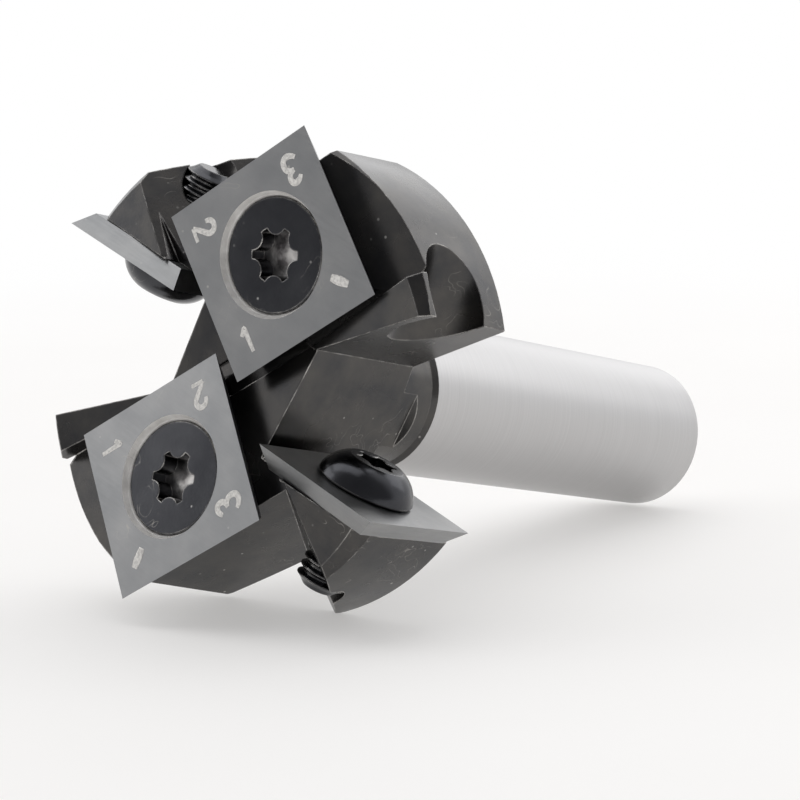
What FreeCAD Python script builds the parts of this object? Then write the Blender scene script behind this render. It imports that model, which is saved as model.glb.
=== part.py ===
import FreeCAD, Part
import math
import os

# Right-hand surfacing cutter: steel body with an integral plain shank, two face knives
# lying in tilted front pockets, two side knives standing against the side arms.
# Frame: origin in the cutting plane on the axis, +Z towards the shank, face knife 1 on +Y.

V = FreeCAD.Vector

# ---- driving dimensions (mm, degrees) ----
HEAD_RADIUS = 18.25
HEAD_FRONT_Z = 0.9
FRONT_BREAK_RADIAL = 1.55
FRONT_BREAK_AXIAL = 1.7
HEAD_BACK_RIM_Z = 12.3
HEAD_BACK_ROOT_Z = 16.0
RIM_BREAK = 0.25
NECK_RADIUS = 6.1
NECK_END_Z = 19.7
SHANK_RADIUS = 6.35
SHANK_START_Z = 20.3
SHANK_END_Z = 61.8
SHANK_CHAMFER = 0.7

GULLET_FLOOR = 5.63
GULLET_END_Z = 18.3
GULLET_RUN_OUT = 0.5
TRAILING_FACE_AZIMUTH = 141.0
LEADING_FACE_OFFSET = 5.05
LEADING_FACE_LEAN = 7.5
LEADING_FACE_Z = 2.2
TRAILING_LAND = (V(-5.63, 4.48, 3.5), V(-13.5, 11.1, 1.9), V(-11.3, 13.2, 1.65))
SIDE_ARM_LAND = (V(-10.3, -4.5, 1.1), V(-16.9, -4.5, 1.5), V(-15.6, -8.6, 1.85))
WEDGE_BACK = (V(-10.3, -4.95, 1.2), V(-15.9, -8.7, 1.9), V(-11.9, -13.8, 11.2))

FACE_KNIFE_SIDE = 14.0
FACE_KNIFE_THICK = 2.0
FACE_KNIFE_INSET = 1.15
FACE_KNIFE_CENTRE_Y = 9.3
FACE_KNIFE_CENTRE_Z = 0.84
FACE_KNIFE_TURN = 35.95
FACE_TILT = 5.85
FACE_TILT_AZIMUTH = 47.4
FACE_SEAT = ((4.75, 0.0), (4.56, -0.45), (4.2, -0.95), (3.6, -1.45), (2.8, -1.95))
FACE_HOLE_RADIUS = 2.8
POCKET_WALL_GAP = 0.05
POCKET_SIDE_RELIEF = 2.3
SEAT_GAP = 0.03

SIDE_KNIFE_SIDE = 12.0
SIDE_KNIFE_THICK = 1.5
SIDE_KNIFE_INSET = 1.03
SIDE_KNIFE_CENTRE_X = 12.85
SIDE_KNIFE_FACE_Y = 3.0
SIDE_KNIFE_CENTRE_Z = 6.3
SIDE_KNIFE_LEAN = 1.15
SIDE_HOLE_RADIUS = 2.2

DRIVER_CHANNEL_RADIUS = 3.3

FACE_THREAD_RADIUS = 2.45
FACE_THREAD_ROOT = 2.05
FACE_THREAD_PITCH = 0.8
FACE_BORE_RADIUS = 2.52
FACE_BORE_DEPTH = 7.4
FACE_BORE_MOUTH_DEPTH = 0.4
FACE_SCREW_LENGTH = 8.6
FACE_HEAD_DROP = 0.48
FACE_HEAD_RADIUS = 4.38
FACE_HEAD_CLEARANCE = 0.09
FACE_SOCKET_RADIUS = 2.1
FACE_SOCKET_DEPTH = 1.5

SIDE_THREAD_RADIUS = 1.95
SIDE_THREAD_ROOT = 1.6
SIDE_THREAD_PITCH = 0.7
SIDE_BORE_RADIUS = 2.02
SIDE_SCREW_LENGTH = 8.4
SIDE_HEAD_RADIUS = 3.8
SIDE_HEAD_HEIGHT = 2.2
SIDE_CROWN_RADIUS = 2.15
SIDE_SOCKET_RADIUS = 1.65
SIDE_SOCKET_DEPTH = 1.3
HEAD_SEAT_GAP = 0.03

FAR = 60.0


# ---- general helpers ----
def turned(points):
    """Solid of revolution about Z from (radius, z) points."""
    wire = Part.makePolygon([V(r, 0, z) for r, z in points + [points[0]]])
    return Part.Face(wire).revolve(V(0, 0, 0), V(0, 0, 1), 360)


def frame_at(origin, x_axis, z_axis):
    """Placement whose local X and Z axes are the given directions."""
    z_dir = V(z_axis).normalize()
    y_dir = z_dir.cross(V(x_axis)).normalize()
    x_dir = y_dir.cross(z_dir)
    matrix = FreeCAD.Matrix(
        x_dir.x, y_dir.x, z_dir.x, origin.x,
        x_dir.y, y_dir.y, z_dir.y, origin.y,
        x_dir.z, y_dir.z, z_dir.z, origin.z,
        0, 0, 0, 1)
    return FreeCAD.Placement(matrix)


def placed(shape, placement):
    moved = shape.copy()
    moved.Placement = placement
    return moved


def opposite(shape):
    """Copy turned half a revolution about the cutter axis."""
    other = shape.copy()
    other.rotate(V(0, 0, 0), V(0, 0, 1), 180)
    return other


def plane_facing_front(points):
    """Normal of the plane through three points, chosen to look towards the cutting plane."""
    normal = (points[1] - points[0]).cross(points[2] - points[0]).normalize()
    return normal * -1 if normal.z > 0 else normal


def side_of_plane(point, normal):
    """Large block filling the half space that the normal points into."""
    helper = V(0, 0, 1) if abs(V(normal).normalize().z) < 0.9 else V(1, 0, 0)
    block = Part.makeBox(2 * FAR, 2 * FAR, FAR, V(-FAR, -FAR, 0))
    return placed(block, frame_at(point, helper, normal))


def bevelled_square(side, thick, inset):
    """Square plate, full size on its front face (z = 0), bevelled in towards the back."""
    half = side / 2.0
    back = half - inset
    front_wire = Part.makePolygon([
        V(-half, -half, 0), V(half, -half, 0), V(half, half, 0), V(-half, half, 0),
        V(-half, -half, 0)])
    back_wire = Part.makePolygon([
        V(-back, -back, -thick), V(back, -back, -thick), V(back, back, -thick),
        V(-back, back, -thick), V(-back, -back, -thick)])
    return Part.makeLoft([back_wire, front_wire], True, True)


def six_lobe_recess(radius, depth, top_z):
    """Six-lobed driver recess as a cutting tool, open upwards."""
    recess = Part.makeCylinder(radius, depth + 1.0, V(0, 0, top_z - depth))
    for step in range(6):
        angle = math.radians(30 + 60 * step)
        at = V(radius * 1.145 * math.cos(angle), radius * 1.145 * math.sin(angle), top_z - depth - 0.5)
        recess = recess.cut(Part.makeCylinder(radius * 0.43, depth + 2.0, at))
    return recess


def thread_points(crest, root, pitch, start_z, end_z):
    """Zigzag (radius, z) outline of plain ridges running down from start_z to end_z."""
    points = []
    z = start_z
    while z - pitch > end_z:
        points.append((root, z))
        points.append((root, z - 0.12 * pitch))
        points.append((crest, z - 0.5 * pitch))
        points.append((crest, z - 0.62 * pitch))
        z -= pitch
    return points, z


# ---- stations: local z = 0 is the front of the knife, local +Z leaves the knife ----
def face_station():
    tilt = math.tan(math.radians(FACE_TILT))
    gx = tilt * math.cos(math.radians(FACE_TILT_AZIMUTH))
    gy = tilt * math.sin(math.radians(FACE_TILT_AZIMUTH))
    ex = math.cos(math.radians(FACE_KNIFE_TURN))
    ey = math.sin(math.radians(FACE_KNIFE_TURN))
    origin = V(0, FACE_KNIFE_CENTRE_Y, FACE_KNIFE_CENTRE_Z)
    return frame_at(origin, V(ex, ey, -(gx * ex + gy * ey)), V(-gx, -gy, -1))


def side_station():
    origin = V(-SIDE_KNIFE_CENTRE_X, -SIDE_KNIFE_FACE_Y, SIDE_KNIFE_CENTRE_Z)
    lean = math.radians(SIDE_KNIFE_LEAN)
    return frame_at(origin, V(-math.cos(lean), 0, -math.sin(lean)), V(0, 1, 0))


# ---- face knife ----
def face_knife():
    knife = bevelled_square(FACE_KNIFE_SIDE, FACE_KNIFE_THICK, FACE_KNIFE_INSET)
    sink = turned([(0, 0)] + list(FACE_SEAT) + [(0, FACE_SEAT[-1][1])])
    hole = Part.makeCylinder(FACE_HOLE_RADIUS, 2 * FACE_KNIFE_THICK, V(0, 0, -1.5 * FACE_KNIFE_THICK))
    knife = knife.cut(sink).cut(hole)
    return placed(knife, face_station())


# ---- side knife ----
def side_knife():
    knife = bevelled_square(SIDE_KNIFE_SIDE, SIDE_KNIFE_THICK, SIDE_KNIFE_INSET)
    hole = Part.makeCylinder(SIDE_HOLE_RADIUS, 2 * SIDE_KNIFE_THICK, V(0, 0, -1.5 * SIDE_KNIFE_THICK))
    return placed(knife.cut(hole), side_station())


# ---- face knife screw: flat countersunk head, six-lobed recess ----
def face_screw():
    top_z = -FACE_HEAD_DROP
    hub = [(r - FACE_HEAD_CLEARANCE, z) for r, z in FACE_SEAT[2:]]
    under_z = hub[-1][1] - (hub[-1][0] - FACE_THREAD_RADIUS)
    ridges, last_z = thread_points(
        FACE_THREAD_RADIUS, FACE_THREAD_ROOT, FACE_THREAD_PITCH, under_z - 0.4, -FACE_SCREW_LENGTH)
    outline = [(0, top_z), (FACE_HEAD_RADIUS - 0.1, top_z), (FACE_HEAD_RADIUS, top_z - 0.08)] + hub
    outline += [(FACE_THREAD_RADIUS, under_z), (FACE_THREAD_ROOT, under_z - 0.3)]
    outline += ridges + [(FACE_THREAD_ROOT, last_z), (FACE_THREAD_ROOT - 0.4, last_z - 0.4), (0, last_z - 0.4)]
    screw = turned(outline)
    screw = screw.cut(six_lobe_recess(FACE_SOCKET_RADIUS, FACE_SOCKET_DEPTH, top_z))
    return placed(screw, face_station())


# ---- side knife screw: button head standing on the knife, six-lobed recess ----
def side_screw():
    base = HEAD_SEAT_GAP
    top_z = base + SIDE_HEAD_HEIGHT
    ridges, last_z = thread_points(
        SIDE_THREAD_RADIUS, SIDE_THREAD_ROOT, SIDE_THREAD_PITCH, -SIDE_KNIFE_THICK - 0.2, -SIDE_SCREW_LENGTH)
    crown_start, crown_end = V(SIDE_CROWN_RADIUS, 0, top_z), V(SIDE_HEAD_RADIUS, 0, base + 0.2)
    crown = Part.Arc(crown_start, V(SIDE_HEAD_RADIUS - 0.55, 0, top_z - 0.82), crown_end).toShape()
    outline = [(SIDE_HEAD_RADIUS, base + 0.2), (SIDE_HEAD_RADIUS - 0.15, base)]
    outline += [(SIDE_THREAD_RADIUS, base), (SIDE_THREAD_RADIUS, -SIDE_KNIFE_THICK)]
    outline += ridges + [(SIDE_THREAD_ROOT, last_z), (SIDE_THREAD_ROOT - 0.35, last_z - 0.35), (0, last_z - 0.35)]
    outline += [(0, top_z), (SIDE_CROWN_RADIUS, top_z)]
    below = Part.makePolygon([V(r, 0, z) for r, z in outline])
    screw = Part.Face(Part.Wire([below, crown])).revolve(V(0, 0, 0), V(0, 0, 1), 360)
    screw = screw.cut(six_lobe_recess(SIDE_SOCKET_RADIUS, SIDE_SOCKET_DEPTH, top_z))
    return placed(screw, side_station())


# ---- cutter body with its integral shank ----
def body_blank():
    outline = [
        (0, HEAD_FRONT_Z), (HEAD_RADIUS - FRONT_BREAK_RADIAL, HEAD_FRONT_Z),
        (HEAD_RADIUS, HEAD_FRONT_Z + FRONT_BREAK_AXIAL),
        (HEAD_RADIUS, HEAD_BACK_RIM_Z - RIM_BREAK), (HEAD_RADIUS - RIM_BREAK, HEAD_BACK_RIM_Z),
        (NECK_RADIUS, HEAD_BACK_ROOT_Z), (NECK_RADIUS, NECK_END_Z),
        (SHANK_RADIUS, SHANK_START_Z), (SHANK_RADIUS, SHANK_END_Z - SHANK_CHAMFER),
        (SHANK_RADIUS - SHANK_CHAMFER, SHANK_END_Z), (0, SHANK_END_Z)]
    return turned(outline)


def side_gullet():
    """Chip space in front of side knife 1, from the arm's seat round to the face arm, with a sloping run-out on the neck."""
    azimuth = math.radians(TRAILING_FACE_AZIMUTH)
    corner_y = GULLET_FLOOR * -math.tan(azimuth)
    seat_y = -(SIDE_KNIFE_FACE_Y + SIDE_KNIFE_THICK + SEAT_GAP)
    outline = [
        V(-GULLET_FLOOR, seat_y, -5), V(-GULLET_FLOOR, corner_y, -5),
        V(FAR * math.cos(azimuth), FAR * math.sin(azimuth), -5), V(-FAR, seat_y, -5)]
    face = Part.Face(Part.makePolygon(outline + [outline[0]]))
    run_out = side_of_plane(V(-GULLET_FLOOR, 0, GULLET_END_Z - GULLET_RUN_OUT), V(-1, 0, -1))
    return face.extrude(V(0, 0, FAR)).common(run_out)


def wedge_gullet():
    """Chip space behind side arm 1 and in front of face knife 2."""
    turn = math.radians(FACE_KNIFE_TURN)
    lean = math.radians(LEADING_FACE_LEAN)
    outward = V(-math.cos(turn), -math.sin(turn), 0)
    on_leading = V(0, -FACE_KNIFE_CENTRE_Y, LEADING_FACE_Z) + outward * LEADING_FACE_OFFSET
    leading = outward * math.cos(lean) + V(0, 0, -math.sin(lean))
    cut = side_of_plane(on_leading, leading)
    return cut.common(side_of_plane(WEDGE_BACK[0], plane_facing_front(WEDGE_BACK)))


def face_pocket():
    """Tilted seat of face knife 1, carried on under the whole hub beside the knife."""
    half = FACE_KNIFE_SIDE / 2.0
    length = 2 * FAR
    corner = V(-half - POCKET_WALL_GAP, half + POCKET_SIDE_RELIEF - length, -FACE_KNIFE_THICK - SEAT_GAP)
    seat = placed(Part.makeBox(length, length, 12.0, corner), face_station())
    corner = V(-half - POCKET_WALL_GAP, -FAR, -FACE_KNIFE_THICK - SEAT_GAP)
    hub_side = placed(Part.makeBox(length, length, 12.0, corner), face_station())
    hub_zone = Part.makeBox(GULLET_FLOOR, FAR, 30.0, V(0, -TRAILING_LAND[0].y, -15.0))
    return seat.fuse(hub_side.common(hub_zone))


def trailing_land():
    """Sloping land of face arm 1 behind the wall of the pocket."""
    reach = Part.makeBox(FAR, FAR, 30.0, V(-FAR, TRAILING_LAND[0].y, -15.0))
    return side_of_plane(TRAILING_LAND[0], plane_facing_front(TRAILING_LAND)).common(reach)


def side_arm_land():
    """End relief on the front of side arm 1."""
    reach = Part.makeBox(FAR, FAR, 30.0, V(-GULLET_FLOOR - FAR, -FAR, -15.0))
    return side_of_plane(SIDE_ARM_LAND[0], plane_facing_front(SIDE_ARM_LAND)).common(reach)


def face_bore():
    """Screw bore of face knife 1, widened at the seat for the end of the head's cone."""
    depth = FACE_KNIFE_THICK + FACE_BORE_DEPTH
    bore = Part.makeCylinder(FACE_BORE_RADIUS, depth, V(0, 0, -depth))
    mouth_z = -FACE_KNIFE_THICK - FACE_BORE_MOUTH_DEPTH
    mouth = Part.makeCylinder(FACE_HOLE_RADIUS, FACE_BORE_MOUTH_DEPTH + 1.0, V(0, 0, mouth_z))
    return placed(bore.fuse(mouth), face_station())


def side_bore():
    return placed(Part.makeCylinder(SIDE_BORE_RADIUS, 20.0, V(0, 0, -20.0)), side_station())


def driver_channel():
    """Round channel through the face arm that lets the driver reach side screw 1."""
    return placed(Part.makeCylinder(DRIVER_CHANNEL_RADIUS, 30.0, V(0, 0, 1.0)), side_station())


def cutter_body():
    body = body_blank()
    tools = [side_gullet(), wedge_gullet(), trailing_land(), side_arm_land(), face_pocket(),
             face_bore(), side_bore(), driver_channel()]
    for tool in tools:
        body = body.cut(tool).cut(opposite(tool))
    return body.removeSplitter()


def export(name, shape):
    solid = shape if shape.ShapeType == "Solid" else shape.Solids[0]
    solid.exportStep("parts/" + name + ".step")


os.makedirs("parts", exist_ok=True)
export("cutter_body", cutter_body())
for piece_name, piece in (("face_knife", face_knife()), ("side_knife", side_knife()),
                          ("face_knife_screw", face_screw()), ("side_knife_screw", side_screw())):
    export(piece_name + "_1", piece)
    export(piece_name + "_2", opposite(piece))
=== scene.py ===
import math

import bpy
from mathutils import Matrix, Vector


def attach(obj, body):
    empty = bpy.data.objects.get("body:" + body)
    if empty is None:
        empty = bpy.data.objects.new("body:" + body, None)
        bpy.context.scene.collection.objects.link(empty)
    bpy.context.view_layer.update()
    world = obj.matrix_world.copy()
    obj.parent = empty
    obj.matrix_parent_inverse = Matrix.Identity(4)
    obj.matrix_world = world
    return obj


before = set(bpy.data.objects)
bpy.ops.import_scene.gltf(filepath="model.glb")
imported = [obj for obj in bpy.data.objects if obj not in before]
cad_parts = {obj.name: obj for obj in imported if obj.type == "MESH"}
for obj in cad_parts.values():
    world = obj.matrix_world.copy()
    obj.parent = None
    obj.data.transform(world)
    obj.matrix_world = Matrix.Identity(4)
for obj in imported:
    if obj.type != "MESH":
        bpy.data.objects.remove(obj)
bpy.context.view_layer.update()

# The table the cutter lies on: a plain pale board, faintly clouded, that fades into a white sweep.
# The cutter rests on it with two rim corners of its head and the end of its shank, so the board
# lies aslant to the cutter's axis. It is clear from below, so that the cutter shows from there too.
mm = 0.001
board_reach = 1.6
table_up = Vector((0.3874, 0.8958, -0.2177)).normalized()
table_spot = Vector((-2.42, -17.9, 12.3)) * mm
table_along = Vector((0.5573, -0.2025, 0.8052))
table_along = (table_along - table_along.dot(table_up) * table_up).normalized()
table_across = table_along.cross(table_up)
table_turn = Matrix((table_across, table_along, table_up)).transposed()

board_corners = [(x * board_reach, y * board_reach, 0) for x, y in ((-1, -1), (1, -1), (1, 1), (-1, 1))]
board_mesh = bpy.data.meshes.new("table_board")
board_mesh.from_pydata(board_corners, [], [(0, 1, 2, 3)])
board = bpy.data.objects.new("table_board", board_mesh)
board.matrix_world = Matrix.Translation(table_spot) @ table_turn.to_4x4()
bpy.context.scene.collection.objects.link(board)


def add(tree, kind, feeds=None, **settings):
    """Adds one node. Each feed gives a socket its value, or the output that it is wired to."""
    node = tree.nodes.new("ShaderNode" + kind)
    for setting, choice in settings.items():
        setattr(node, setting, choice)
    for socket, feed in (feeds or {}).items():
        if isinstance(feed, bpy.types.NodeSocket):
            tree.links.new(feed, node.inputs[socket])
        else:
            node.inputs[socket].default_value = feed
    return node


def start_finish(name):
    """Starts a finish, and gives its material, node tree, shader and the piece's own coordinates."""
    finish = bpy.data.materials.new(name)
    finish.use_nodes = True
    tree = finish.node_tree
    return finish, tree, tree.nodes["Principled BSDF"], add(tree, "TexCoord").outputs["Object"]


def clouds(tree, where, count, detail, **more):
    """A cloudy pattern with about this many clouds to the metre."""
    feeds = {"Vector": where, "Scale": count, "Detail": detail, **more}
    return add(tree, "TexNoise", feeds).outputs["Fac"]


def tone(tree, amount, *stops):
    """The colour at this amount, between stops of (amount, red, green, blue)."""
    ramp = add(tree, "ValToRGB", {"Fac": amount})
    elements = ramp.color_ramp.elements
    for number, (position, *colour) in enumerate(stops):
        element = elements[number] if number < 2 else elements.new(position)
        element.position = position
        element.color = (*colour, 1)
    return ramp.outputs["Color"]


def spread(tree, amount, low, high, to_low=0.0, to_high=1.0, **settings):
    """Stretches an amount's range, low to high, onto another, and holds it at the ends outside."""
    feeds = {"Value": amount, "From Min": low, "From Max": high, "To Min": to_low, "To Max": to_high}
    return add(tree, "MapRange", feeds, **settings).outputs["Result"]


def go_over(tree, amount, first, second):
    """Goes over from the first shader to the second as the amount goes from 0 to 1."""
    return add(tree, "MixShader", {0: amount, 1: first, 2: second}).outputs["Shader"]


paper, tree, sheen, where = start_finish("pale_board")
sheen.inputs["Roughness"].default_value = 0.62
paper_tone = tone(tree, clouds(tree, where, 14.0, 3.0), (0.3, 0.90, 0.885, 0.87), (0.7, 0.94, 0.93, 0.92))
tree.links.new(paper_tone, sheen.inputs["Base Color"])
distance = add(tree, "VectorMath", {0: where}, operation="LENGTH").outputs["Value"]
# The board glows as well as reflecting. This is a painted fill light, 42 percent of it near the cutter,
# which halves the depth of the shadows there and tints them warm. It rises to a plain white sweep far
# out.
fade = spread(tree, distance, 0.05, 0.34, to_low=0.42, interpolation_type="SMOOTHSTEP")
painted_fill_tone = tone(tree, fade, (0.42, 0.975, 0.962, 0.945), (0.9, 1, 1, 1))
painted_fill_glow = add(tree, "Emission", {"Color": painted_fill_tone}).outputs["Emission"]
lit = go_over(tree, fade, sheen.outputs["BSDF"], painted_fill_glow)
clear = add(tree, "BsdfTransparent").outputs["BSDF"]
one_sided = go_over(tree, add(tree, "NewGeometry").outputs["Backfacing"], lit, clear)
tree.links.new(one_sided, tree.nodes["Material Output"].inputs["Surface"])
board_mesh.materials.append(paper)

# The camera stands 21 cm off the cutting end, eight degrees above the table, and
# looks along the cutter towards its shank.
look = Matrix(((-0.69342, 0.45670, -0.55731), (0.41991, 0.88469, 0.20250), (0.58553, -0.09360, -0.80523)))
camera_spot = Vector((-126.44, 45.59, -158.60)) * mm
camera = bpy.data.objects.new("camera", bpy.data.cameras.new("camera"))
camera.data.sensor_width = 36.0
camera.data.lens = 125.7
camera.data.clip_start = 0.01
camera.matrix_world = Matrix.Translation(camera_spot) @ look.to_4x4()
bpy.context.scene.collection.objects.link(camera)
bpy.context.scene.camera = camera

# The light: a white tent all round with its opening towards the camera, where it is dim,
# and four soft boxes, one overhead, one to each side and one low behind the cutter.
camera_way = look @ Vector((0, 0, 1))
tent = bpy.data.worlds.new("white_tent")
bpy.context.scene.world = tent
tent.use_nodes = True
tree = tent.node_tree
tree.nodes.clear()
way = add(tree, "TexCoord").outputs["Generated"]
opening = add(tree, "VectorMath", {0: way, 1: camera_way}, operation="DOT_PRODUCT").outputs["Value"]
wall = tone(tree, opening, (0.08, 0.95, 0.95, 0.96), (0.40, 0.29, 0.29, 0.30), (0.75, 0.24, 0.24, 0.25))
inside = add(tree, "Background", {"Color": wall}).outputs["Background"]
backdrop = add(tree, "Background", {"Color": (1, 1, 1, 1)}).outputs["Background"]
seen = add(tree, "LightPath").outputs["Is Camera Ray"]
add(tree, "OutputWorld", {"Surface": go_over(tree, seen, inside, backdrop)})

lit_spot = Vector((0, 0, 0.022))
for name, across, along, up, size, power in (
        ("overhead_box", -0.05, 0.12, 0.50, 0.60, 1.0),
        ("left_box", -0.55, 0.10, 0.28, 0.35, 0.35),
        ("right_box", 0.50, 0.25, 0.30, 0.35, 0.4),
        ("back_box", 0.20, 0.52, 0.25, 0.32, 0.22)):
    lamp = bpy.data.lights.new(name, "AREA")
    lamp.shape = "SQUARE"
    lamp.size = size
    lamp.energy = power
    box = bpy.data.objects.new(name, lamp)
    spot = lit_spot + across * table_across + along * table_along + up * table_up
    aim = (lit_spot - spot).to_track_quat("-Z", "Y").to_matrix().to_4x4()
    box.matrix_world = Matrix.Translation(spot) @ aim
    bpy.context.scene.collection.objects.link(box)
bpy.context.scene.view_settings.view_transform = "Standard"

# The cutter body is one bar of tool steel. The head is milled and then blackened in a hot
# oxide bath, so its flats stay fine-grained and semi-gloss, with bright wear on its edges.
edge_round = 0.16 * mm
grain_depth = 0.012 * mm
oxide_dark, oxide_light = (0.058, 0.058, 0.060), (0.096, 0.091, 0.085)
rubbed_tone = (0.66, 0.64, 0.61)
speck_tone, fibre_tone = (0.46, 0.45, 0.43), (0.42, 0.40, 0.37)


def laid_over(tree, amount, under, over):
    """The fixed colour over where the amount is 1, and the colour under it where it is 0."""
    mix = add(tree, "Mix", data_type="RGBA")
    mix.inputs["B"].default_value = (*over, 1)
    tree.links.new(amount, mix.inputs["Factor"])
    tree.links.new(under, mix.inputs["A"])
    return mix.outputs["Result"]


def reckon(tree, operation, *amounts):
    """One step of arithmetic on one or two amounts."""
    return add(tree, "Math", dict(enumerate(amounts)), operation=operation).outputs["Value"]


def relief(tree, height, strength, depth, over=None):
    """Makes the surface look raised by up to this depth, in metres, where the height is 1."""
    feeds = {"Height": height, "Strength": strength, "Distance": depth}
    if over is not None:
        feeds["Normal"] = over
    return add(tree, "Bump", feeds).outputs["Normal"]


def dusted(tree, where, under):
    """Lays workshop dust over a colour: pale specks, and a few curled wood fibres in patches."""
    cells = add(tree, "TexVoronoi", {"Vector": where, "Scale": 700.0})
    speck = spread(tree, cells.outputs["Distance"], 0.095, 0.045)
    lot = add(tree, "SeparateColor", {"Color": cells.outputs["Color"]})
    chosen = spread(tree, lot.outputs["Red"], 0.5, 0.95)
    specked = laid_over(tree, reckon(tree, "MULTIPLY", speck, chosen), under, speck_tone)

    curls = clouds(tree, where, 420.0, 1.0, Distortion=1.4)
    off_line = reckon(tree, "ABSOLUTE", reckon(tree, "SUBTRACT", curls, 0.5))
    thread = spread(tree, off_line, 0.006, 0.002)
    caught = spread(tree, clouds(tree, where, 260.0, 2.0), 0.60, 0.68, to_high=0.6)
    return laid_over(tree, reckon(tree, "MULTIPLY", thread, caught), specked, fibre_tone)


def blackened(name, dark, light, gloss):
    """Black oxide on steel: mottled, rubbed bright in places along its edges, dusty, fine-grained."""
    finish, tree, oxide, where = start_finish(name)
    oxide.inputs["Metallic"].default_value = 1.0
    mottled = tone(tree, clouds(tree, where, 320.0, 5.0, Roughness=0.6), (0.32, *dark), (0.72, *light))

    rounded = add(tree, "Bevel", {"Radius": edge_round}, samples=6).outputs["Normal"]
    flat = add(tree, "NewGeometry").outputs["Normal"]
    flatness = add(tree, "VectorMath", {0: rounded, 1: flat}, operation="DOT_PRODUCT").outputs["Value"]
    edge = spread(tree, flatness, 0.985, 0.90)
    rubs = spread(tree, clouds(tree, where, 900.0, 4.0), 0.42, 0.62, 0.20, 0.95)
    worn = laid_over(tree, reckon(tree, "MULTIPLY", edge, rubs), mottled, rubbed_tone)
    tree.links.new(dusted(tree, where, worn), oxide.inputs["Base Color"])

    handling = spread(tree, clouds(tree, where, 140.0, 6.0), 0.3, 0.7, *gloss)
    tree.links.new(handling, oxide.inputs["Roughness"])
    grain = relief(tree, clouds(tree, where, 5200.0, 3.0), 0.35, grain_depth, rounded)
    tree.links.new(grain, oxide.inputs["Normal"])
    return finish


def refinish(node, *finishes):
    """Gives a CAD node these finishes in place of its packed one, and returns its mesh."""
    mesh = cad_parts[node].data
    mesh.materials.clear()
    for finish in finishes:
        mesh.materials.append(finish)
    return mesh


black_oxide = blackened("black_oxide", oxide_dark, oxide_light, gloss=(0.20, 0.33))

# The shank is the plain back end of the same bar, ground bright between centres after the
# bath. It starts at the shoulder of the neck, and the wheel leaves fine rings round it.
shank_start = 20.25 * mm
shank_edge_round = 0.2 * mm
ring_depth = 0.006 * mm
ground_shank, tree, steel, where = start_finish("ground_shank")
steel.inputs["Metallic"].default_value = 1.0
steel.inputs["Anisotropic"].default_value = 0.45
round_axis = add(tree, "Tangent", direction_type="RADIAL", axis="Z").outputs["Tangent"]
tree.links.new(round_axis, steel.inputs["Tangent"])
ring_space = add(tree, "Mapping", {"Vector": where, "Scale": (40, 40, 14000)}).outputs["Vector"]
rings = clouds(tree, ring_space, 1.0, 5.0)
ring_tone = tone(tree, rings, (0.3, 0.46, 0.455, 0.455), (0.7, 0.53, 0.525, 0.525))
tree.links.new(ring_tone, steel.inputs["Base Color"])
tree.links.new(spread(tree, rings, 0.3, 0.7, 0.33, 0.40), steel.inputs["Roughness"])
shank_rounded = add(tree, "Bevel", {"Radius": shank_edge_round}, samples=4).outputs["Normal"]
tree.links.new(relief(tree, rings, 0.12, ring_depth, shank_rounded), steel.inputs["Normal"])

body_mesh = refinish("cutter_body", black_oxide, ground_shank)
for face in body_mesh.polygons:
    lowest = min(body_mesh.vertices[v].co.z for v in face.vertices)
    face.material_index = 1 if lowest > shank_start else 0

# The knives are sintered tungsten carbide, ground flat on their faces and on the bevels of
# all four sides. The wheel leaves fine parallel lines, and the finish is an even satin grey.
wheel_angle = math.radians(-12)
line_depth = 0.004 * mm
carbide_dark, carbide_light = (0.255, 0.26, 0.265), (0.325, 0.325, 0.325)


def carbide(name, dark, light, haze, metallic):
    """Ground carbide, hazy between two greys, with this many clouds of haze to the metre."""
    finish, tree, hard, where = start_finish(name)
    hard.inputs["Metallic"].default_value = metallic
    stretch = {"Vector": where, "Rotation": (0, 0, wheel_angle), "Scale": (500, 9000, 500)}
    lines = clouds(tree, add(tree, "Mapping", stretch).outputs["Vector"], 1.0, 4.0)
    hazy = tone(tree, clouds(tree, where, haze, 6.0), (0.3, *dark), (0.7, *light))
    tree.links.new(dusted(tree, where, hazy), hard.inputs["Base Color"])
    tree.links.new(spread(tree, lines, 0.3, 0.7, 0.30, 0.42), hard.inputs["Roughness"])
    tree.links.new(relief(tree, lines, 0.3, line_depth), hard.inputs["Normal"])
    return finish


ground_carbide = carbide("ground_carbide", carbide_dark, carbide_light, haze=260.0, metallic=1.0)
for number in ("1", "2"):
    refinish("side_knife_" + number, ground_carbide)

# A face knife has a bowl round its hole, which the head of its screw sinks into. The bowl is
# left as it was ground out, duller than the faces. Its near-white tone is a painted highlight for the
# light its wall catches.
knife_centre = Vector((0, 9.3, 0.84)) * mm
knife_out = Vector((-0.06899, -0.07503, -0.99479)).normalized()
bowl_radius = 4.78 * mm
bowl_painted_highlight_dark, bowl_painted_highlight_light = (0.66, 0.64, 0.61), (0.93, 0.91, 0.88)
ground_bowl_painted_highlight = carbide("ground_bowl_painted_highlight", bowl_painted_highlight_dark, bowl_painted_highlight_light, haze=900.0, metallic=0.15)
for number, half_turn in (("1", 0), ("2", math.pi)):
    turned = Matrix.Rotation(half_turn, 3, "Z")
    centre, axis = turned @ knife_centre, turned @ knife_out
    for face in refinish("face_knife_" + number, ground_carbide, ground_bowl_painted_highlight).polygons:
        away = face.center - centre
        off_axis = (away - away.dot(axis) * axis).length
        sloping = 0.05 < face.normal.dot(axis) < 0.95
        face.material_index = 1 if sloping and off_axis < bowl_radius else 0

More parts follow.
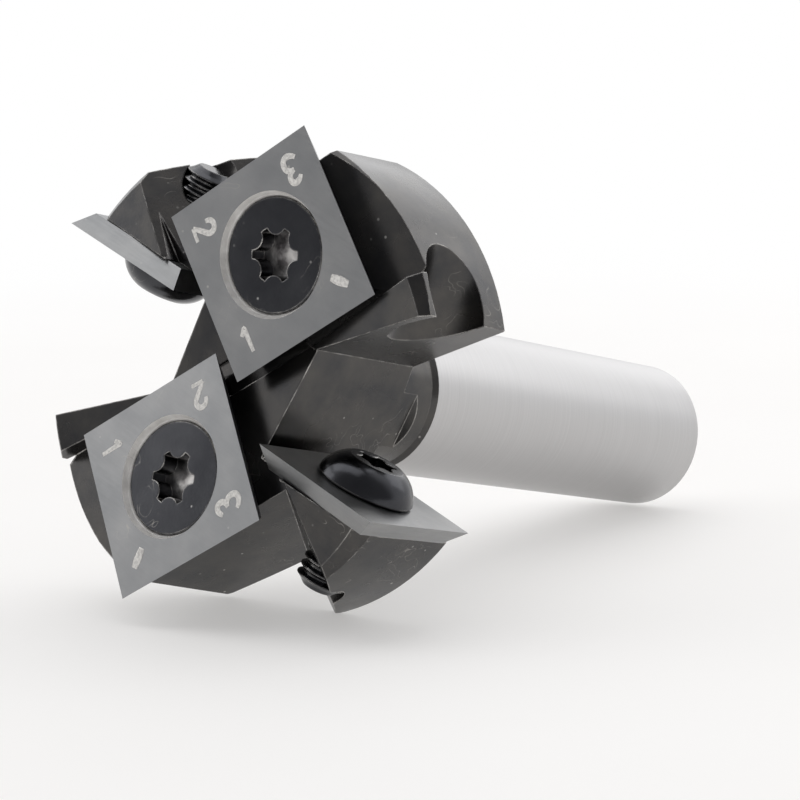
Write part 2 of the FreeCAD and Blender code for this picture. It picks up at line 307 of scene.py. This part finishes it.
# Each face knife carries index marks at its corners, 1, 2, 3 and a short bar, so that the
# joiner can keep count of the edges used. They are etched into the ground face and look frosted.
pit_depth = 0.03 * mm
etched, tree, frost, where = start_finish("etched_mark")
frost.inputs["Metallic"].default_value = 0.0
frost.inputs["Roughness"].default_value = 0.7
pits = clouds(tree, where, 4200.0, 4.0)
frost_tone = tone(tree, pits, (0.36, 0.60, 0.585, 0.56), (0.62, 0.86, 0.84, 0.80))
tree.links.new(frost_tone, frost.inputs["Base Color"])
tree.links.new(relief(tree, pits, 0.6, pit_depth), frost.inputs["Normal"])

one = [[(-0.45, 0.5), (0.02, 0.93), (0.02, 0.93), (0.05, -0.95)]]
two = [[(-0.5, 0.42), (-0.42, 1.0), (0.3, 1.1), (0.62, 0.45), (0.1, -0.1), (-0.55, -0.85)],
       [(-0.55, -0.88), (0.58, -0.92)]]
three = [[(-0.48, 0.72), (-0.2, 1.1), (0.5, 1.05), (0.5, 0.2), (-0.1, 0.12)],
         [(-0.1, 0.12), (0.62, 0.1), (0.66, -0.95), (-0.15, -1.1), (-0.55, -0.68)]]
bar = [[(-0.58, -0.58), (-0.2, -0.2), (0.2, 0.2), (0.58, 0.58)]]
mark_inset = 4.67
stroke_radius = 0.24 * mm
stroke_end = 0.7
stroke_rise = 0.002 * mm
stroke_flatness = 0.06

knife_x = Vector((0.8095, 0.5871, 0))
knife_x = (knife_x - knife_x.dot(knife_out) * knife_out).normalized()
knife_y = knife_out.cross(knife_x)
knife_turn = Matrix((knife_x, knife_y, knife_out)).transposed()
knife_front = Matrix.Translation(knife_centre) @ knife_turn.to_4x4()
pressed_flat = Matrix.Translation((0, 0, stroke_rise)) @ Matrix.Diagonal((1, 1, stroke_flatness, 1))
for number, half_turn, quarter in (("1", 0, 0), ("2", math.pi, math.pi / 2)):
    strokes = bpy.data.curves.new("index_marks_" + number, "CURVE")
    strokes.dimensions = "3D"
    strokes.bevel_depth = stroke_radius
    strokes.bevel_resolution = 3
    strokes.resolution_u = 8
    strokes.use_fill_caps = True
    for figure, corner, width in ((one, 3, 1.0), (two, 2, 1.0), (three, 1, 1.05), (bar, 0, 1.6)):
        turn = Matrix.Rotation(corner * math.pi / 2 + math.pi + quarter, 2)
        for line in figure:
            stroke = strokes.splines.new("NURBS")
            stroke.points.add(len(line) - 1)
            for point, (x, y) in zip(stroke.points, line):
                spot = turn @ Vector((mark_inset - x, mark_inset - y)) * mm
                point.co = (spot.x, spot.y, 0, 1)
                point.radius = width
            stroke.points[0].radius = stroke.points[-1].radius = stroke_end * width
            stroke.order_u = 3
            stroke.use_endpoint_u = True
    marks = bpy.data.objects.new("index_marks_" + number, strokes)
    marks.matrix_world = Matrix.Rotation(half_turn, 4, "Z") @ knife_front @ pressed_flat
    bpy.context.scene.collection.objects.link(marks)
    strokes.materials.append(etched)
    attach(marks, "face_knife_" + number)

# The knife screws are hardened steel, blackened like the head but smoother, since their heads
# are cold-formed. The bottom of each six-lobed socket is rubbed bright by the driver.
screw_dark, screw_light = (0.046, 0.047, 0.052), (0.068, 0.069, 0.074)
black_screw = blackened("black_screw", screw_dark, screw_light, gloss=(0.13, 0.24))

smear_depth = 0.12 * mm
rubbed_steel, tree, rubbed, where = start_finish("rubbed_steel")
rubbed.inputs["Metallic"].default_value = 1.0
rubbed.inputs["Roughness"].default_value = 0.3
smears = clouds(tree, where, 750.0, 5.0)
smear_tone = tone(tree, smears, (0.38, 0.16, 0.15, 0.15), (0.6, 0.62, 0.60, 0.58))
tree.links.new(smear_tone, rubbed.inputs["Base Color"])
tree.links.new(relief(tree, smears, 0.8, smear_depth), rubbed.inputs["Normal"])

side_centre = Vector((-12.85, -3.0, 6.3)) * mm
side_out = Vector((0, 1, 0))
floor_slack = 0.05 * mm
for number, half_turn in (("1", 0), ("2", math.pi)):
    turned = Matrix.Rotation(half_turn, 3, "Z")
    for name, centre, out, floor_height, floor_radius in (
            ("face_knife_screw_" + number, knife_centre, knife_out, -1.98 * mm, 2.2 * mm),
            ("side_knife_screw_" + number, side_centre, side_out, 0.93 * mm, 1.8 * mm)):
        floor_spot, axis = turned @ (centre + out * floor_height), turned @ out
        for face in refinish(name, black_screw, rubbed_steel).polygons:
            away = face.center - floor_spot
            level = abs(away.dot(axis)) < floor_slack and face.normal.dot(axis) > 0.9
            face.material_index = 1 if level and away.length < floor_radius else 0
